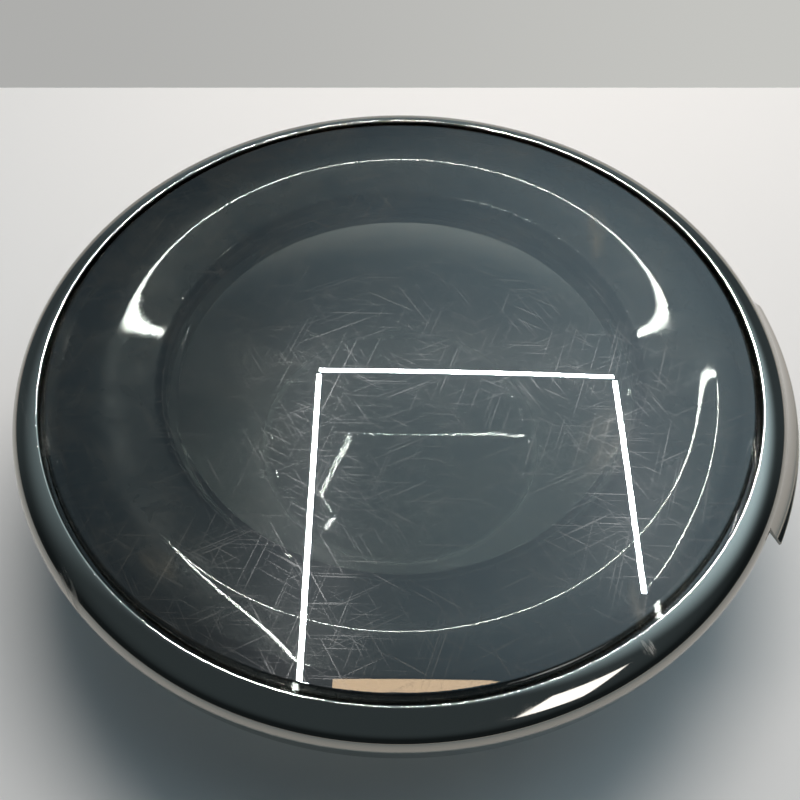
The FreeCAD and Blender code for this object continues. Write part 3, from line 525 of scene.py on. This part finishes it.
def makeBowl(material):
    bm = bmesh.new()
    taper = (bowl["mouth"] - bowl["floor"]) / (bowl["height"] - bowl["thickness"])
    foot = bowl["floor"] - taper * bowl["thickness"] + bowl["wallAcross"]
    neck = foot + taper * bowl["flangeUnder"]
    drawProfile(bm, [
        (0, 0),
        (foot, 0),
        (neck, bowl["flangeUnder"]),
        (bowl["flange"], bowl["flangeUnder"]),
        (bowl["flange"], bowl["height"]),
        (bowl["mouth"], bowl["height"]),
        (bowl["floor"], bowl["thickness"]),
        (*bowl["riseFoot"], bowl["riseBend"], 1),
        (0, bowl["thickness"] + bowl["floorRise"]),
    ], closed=False)
    roundCorner(bm, foot, 0, bowl["footBend"])
    roundCorner(bm, bowl["floor"], bowl["thickness"], bowl["floorBend"])
    roundCorner(bm, bowl["mouth"], bowl["height"], bowl["mouthBend"])
    roundCorner(bm, neck, bowl["flangeUnder"], bowl["rootBend"])
    spinRound(bm)
    return finishPiece(bm, "pressedBowl", material)


remade = [
    (makeRing(chromedPlastic()), "outer_ring", "chromed_plastic"),
    (makeCover(smokedPlastic()), "window_cover", "smoked_plastic"),
    (makeBezel(blackGlossPlastic()), "front_bezel", "black_gloss_plastic"),
    (makeBowl(bowlGlass()), "glass_bowl", "bowl_glass"),
]
for piece, node, slot in remade:
    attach(piece, "door")
    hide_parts(node)
    print("piece", piece.name, len(piece.data.polygons), "faces")


# the pieces under the rim keep their CAD shapes: dark and light shade, metallic, roughness, grain in mm

finishes = {
    "greyPolypropylene": (["rear_frame"], "#8f9192", "#9b9d9d", 0.0, 0.5, 1.5),
    "blackEpdmRubber": (["glass_seal"], "#1b1b1b", "#242424", 0.0, 0.7, 2.0),
    "zincPlatedSteel": (["bezel_screws", "ring_screws", "hinge_screws", "hinge_pin", "pin_clip", "hook_pin",
                         "hook_spring"], "#a9aaa6", "#b8b9b4", 1.0, 0.3, 1.0),
    "pressedSteel": (["hinge_door_leaf", "hinge_cabinet_leaf", "latch_hook"],
                     "#9a9b9a", "#aaaba9", 1.0, 0.38, 4.0),
    "acetalBush": (["bush_upper", "bush_lower"], "#d6d3c9", "#e0ddd4", 0.0, 0.45, 2.0),
}
for finish, (names, *looks) in finishes.items():
    material = plainFinish(finish, *looks)
    for name in names:
        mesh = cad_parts[name].data
        mesh.materials.clear()
        mesh.materials.append(material)
print("CAD nodes dressed")


# table: pale and matt, clear when seen from below

table = {"near": -2500, "far": 420, "side": 2500, "top": -0.3}


def tableFinish():
    material, tree = newMaterial("paleTable")
    shader = addNode(tree, "BsdfPrincipled", {"Base Color": toLinear("#e6e2e0"), "Roughness": 0.55,
                                              "Specular IOR Level": 0.0})
    below = addNode(tree, "NewGeometry").outputs["Backfacing"]
    clear = addNode(tree, "BsdfTransparent")
    mixed = mixShader(tree, below, shader.outputs["BSDF"], clear.outputs["BSDF"])
    addNode(tree, "OutputMaterial", {"Surface": mixed})
    return material


def layTable():
    near, far, side, top = (table[key] for key in ("near", "far", "side", "top"))
    corners = [(-side, near, top), (side, near, top), (side, far, top), (-side, far, top)]
    bm = bmesh.new()
    bm.faces.new([bm.verts.new(onStage(*corner)) for corner in corners])
    mesh = bpy.data.meshes.new("table")
    bm.to_mesh(mesh)
    bm.free()
    mesh.materials.append(tableFinish())
    plane = bpy.data.objects.new("table", mesh)
    bpy.context.collection.objects.link(plane)


layTable()

# a soft box lights the table; the strips and the side panel only show as reflections
lamps = {
    "softBox": {"middle": (160, 600, 1300), "sides": (1000, 500), "radiance": 11.0, "colour": "#fff6ee"},
    "height": 1100, "width": 9.5, "bright": 600, "warm": 9, "warmWidth": 20, "warmColour": "#ffdcb0",
    "strips": [((-176, 715), (467, 703)), ((-176, 704), (-173, -26)), ((467, 692), (448, 205))],
    "warmStrip": ((-116, 38), (172, 36)),
    "sidePanel": {"middle": (720, -860, 1100), "sides": (400, 440), "radiance": 3.0},
}


def hangLamp(name, middle, sides, radiance, colour="#ffffff", turn=0.0):
    lamp = bpy.data.lights.new(name, "AREA")
    lamp.shape = "RECTANGLE"
    lamp.size, lamp.size_y = (length * mm for length in sides)
    lamp.energy = radiance * math.pi * lamp.size * lamp.size_y
    lamp.color = toLinear(colour)[:3]
    holder = bpy.data.objects.new(name, lamp)
    holder.location = onStage(*middle)
    holder.rotation_euler = (0, 0, photoTurn + turn)
    holder.visible_camera = holder.visible_transmission = False
    bpy.context.collection.objects.link(holder)
    return holder


def hangStrip(name, ends, width, radiance, colour="#ffffff"):
    start, end = (Vector(spot) for spot in ends)
    run = end - start
    across, along = (start + end) / 2
    middle = (across, along, lamps["height"])
    strip = hangLamp(name, middle, (run.length, width), radiance, colour, math.atan2(run.y, run.x))
    strip.visible_diffuse = False


hangLamp("softBox", **lamps["softBox"]).visible_glossy = False
for number, ends in enumerate(lamps["strips"]):
    hangStrip("strip%d" % number, ends, lamps["width"], lamps["bright"])
hangStrip("warmStrip", lamps["warmStrip"], lamps["warmWidth"], lamps["warm"], lamps["warmColour"])
hangLamp("sidePanel", **lamps["sidePanel"]).visible_diffuse = False


# the room: bright above at the far right, softer behind the door, and dim all round towards the floor
def makeRoom():
    world = bpy.data.worlds.new("room")
    world.use_nodes = True
    tree = world.node_tree
    tree.nodes.clear()
    direction = addNode(tree, "TexCoord").outputs["Generated"]
    level = addNode(tree, "SeparateXYZ", {"Vector": direction}).outputs["Z"]

    def glow(towards, start, end, dim, bright):
        facing = addNode(tree, "VectorMath", {0: direction, 1: onStage(*towards)}, operation="DOT_PRODUCT")
        return ramp(tree, facing.outputs["Value"], start, end, dim, bright, "SMOOTHSTEP")

    farRight, straightBack, right = (450, 500, 740), (0, 1000, 0), (1000, 0, 0)
    ceiling = ramp(tree, level, 0.35, 0.68, shape="SMOOTHSTEP")
    above = maths(tree, "MULTIPLY", glow(farRight, 0.72, 0.99, 0.0, 1.2), ceiling)
    behind = glow(straightBack, 0.72, 0.98, 0.0, 0.2)
    fade = ramp(tree, level, 0.3, 0.72, 0.25, 1.0, "SMOOTHSTEP")
    around = maths(tree, "MULTIPLY", glow(straightBack, -0.05, 0.45, 0.1, 0.42), fade)
    shade = maths(tree, "ADD", maths(tree, "ADD", above, behind), around)
    room = addNode(tree, "Background", {"Color": toLinear("#c8e6f4"), "Strength": shade})
    paint = blend(tree, glow(right, -0.5, 0.5, 0.0, 1.0), "#adadab", "#c6c6c2")
    backdrop = addNode(tree, "Background", {"Color": paint, "Strength": 1.0})

    # the pale backdrop shows to the camera, and below the table's level in reflections and through glass
    ray = addNode(tree, "LightPath").outputs
    mirrored = maths(tree, "MAXIMUM", ray["Is Glossy Ray"], ray["Is Transmission Ray"])
    mirrored = maths(tree, "MULTIPLY", mirrored, maths(tree, "LESS_THAN", level, 0.0))
    pale = maths(tree, "MAXIMUM", ray["Is Camera Ray"], mirrored)
    mixed = mixShader(tree, pale, room.outputs["Background"], backdrop.outputs["Background"])
    addNode(tree, "OutputWorld", {"Surface": mixed})
    bpy.context.scene.world = world


makeRoom()

# camera: focal length in picture widths, distance and target in mm
shot = {"focal": 1.06, "sensor": 36, "clip": (0.01, 50), "elevation": 54.99, "distance": 510.9,
        "target": (-0.17, -34.04, 100)}


def placeCamera():
    lens = bpy.data.cameras.new("camera")
    lens.sensor_width = shot["sensor"]
    lens.lens = shot["focal"] * shot["sensor"]
    lens.clip_start, lens.clip_end = shot["clip"]
    camera = bpy.data.objects.new("camera", lens)
    elevation = math.radians(shot["elevation"])
    away = shot["distance"] * math.cos(elevation)
    back = onStage(0, -away, shot["distance"] * math.sin(elevation))
    camera.location = onStage(*shot["target"]) + back
    camera.rotation_mode = "QUATERNION"
    camera.rotation_quaternion = (-back).to_track_quat("-Z", "Y")
    bpy.context.collection.objects.link(camera)
    bpy.context.scene.camera = camera


placeCamera()
bpy.context.scene.view_settings.view_transform = "Standard"
print("stage, lamps and camera placed")
